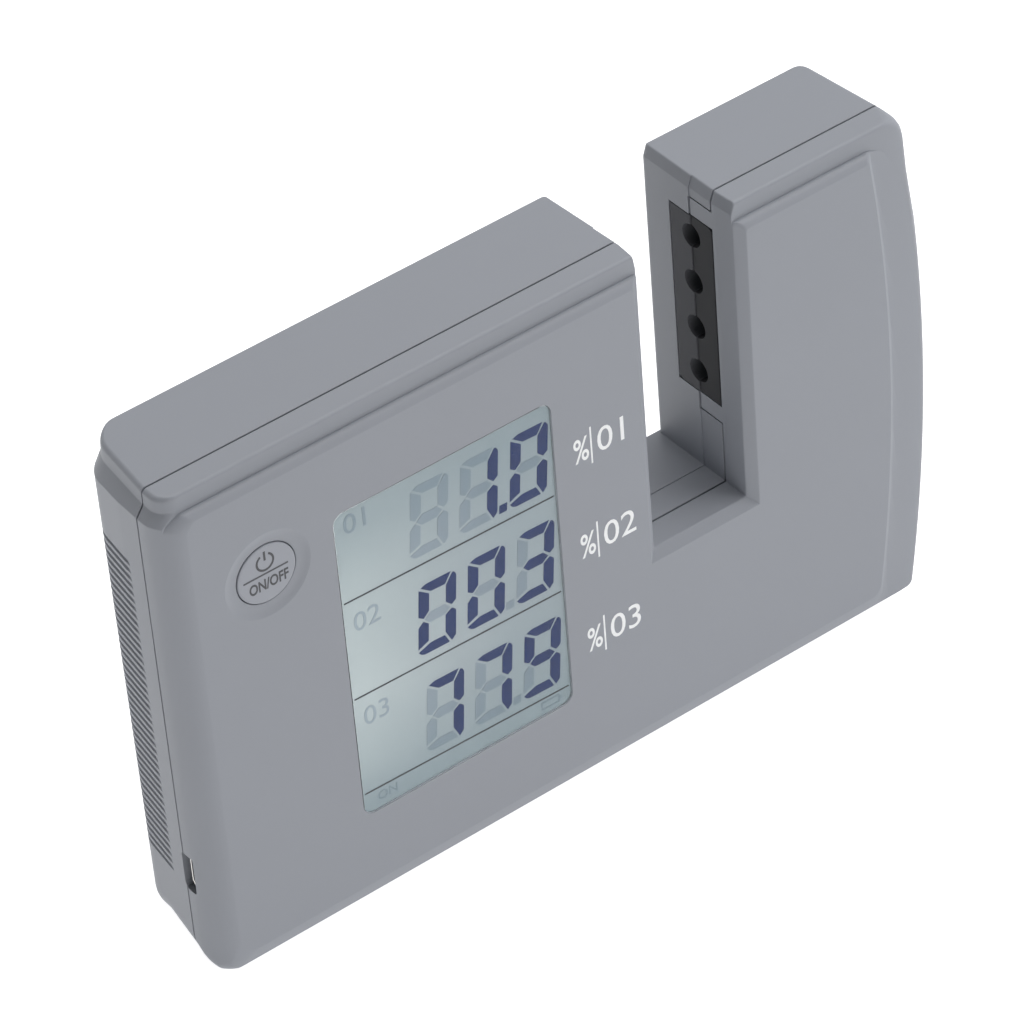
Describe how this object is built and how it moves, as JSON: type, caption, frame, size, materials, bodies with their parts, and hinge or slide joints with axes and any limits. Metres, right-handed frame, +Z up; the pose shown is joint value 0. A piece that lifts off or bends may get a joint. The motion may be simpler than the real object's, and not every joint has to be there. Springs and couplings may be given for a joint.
{
  "type": "transmittance meter",
  "caption": "Hand-held light transmittance meter: grey moulded case with an open measuring slot, display, push button, USB inlet, ribbed grip and facing aperture strips.",
  "frame": {"origin": "middle of the bottom of the overall box, on the surface that the meter stands on", "axes": "+X to the right seen from the display side, +Y from the display side to the rear, +Z up towards the slot's mouth"},
  "size_m": [0.1466, 0.0234, 0.095],
  "materials": {
    "shell_grey": "fine matt texture",
    "button_grey": "fine matt texture",
    "window_clear": "clear polished",
    "lcd": "polarised display face",
    "white_plastic": "moulded nylon",
    "light_guide": "clear acrylic",
    "contact_rubber": "soft",
    "board_green": "solder mask",
    "chip_black": "moulded epoxy",
    "steel": "plated",
    "screw_black": "black oxide",
    "strip_black": "satin",
    "led_body": "clear epoxy",
    "lens_clear": "polished",
    "filter_dark": "polished",
    "cable_black": "matt sheath",
    "cell_foil": "laminated foil",
    "lead_red": "wire sheath"
  },
  "bodies": {
    "case": {"front_shell": "shell_grey", "rear_shell": "shell_grey", "display_window": "window_clear", "lcd_glass": "lcd", "lcd_frame": "white_plastic", "backlight": "light_guide", "zebra_strips": "contact_rubber", "main_board": "board_green", "board_chips": "chip_black", "switch_body": "chip_black", "switch_dome": "steel", "usb_shell": "steel", "usb_tongue": "chip_black", "emitter_strip": "strip_black", "receiver_strip": "strip_black", "emitter_board": "board_green", "receiver_board": "board_green", "emitter_leds": "led_body", "photodiodes": "chip_black", "emitter_lenses": "lens_clear", "receiver_filters": "filter_dark", "emitter_connector": "white_plastic", "receiver_connector": "white_plastic", "link_header": "white_plastic", "receiver_header": "white_plastic", "link_cable": "cable_black", "receiver_cable": "cable_black", "battery_cell": "cell_foil", "battery_pad": "contact_rubber", "battery_header": "white_plastic", "battery_plug": "white_plastic", "battery_lead": "lead_red", "board_screws": "steel", "case_screws": "screw_black"},
    "button": {"button_cap": "button_grey"},
    "plunger": {"switch_plunger": "white_plastic"}
  },
  "joints": [
    {"name": "button_press", "type": "slide", "parent": "case", "child": "button", "axis": [0, 1, 0], "range_m": [0, 0.0003], "stiffness_N_per_m": 4000},
    {"name": "plunger_press", "type": "slide", "parent": "case", "child": "plunger", "axis": [0, 1, 0], "range_m": [0, 0.0003], "deforming": ["switch_dome"]}
  ],
  "couplings": [
    {"joint": "plunger_press", "follows": "button_press", "ratio": 1}
  ]
}
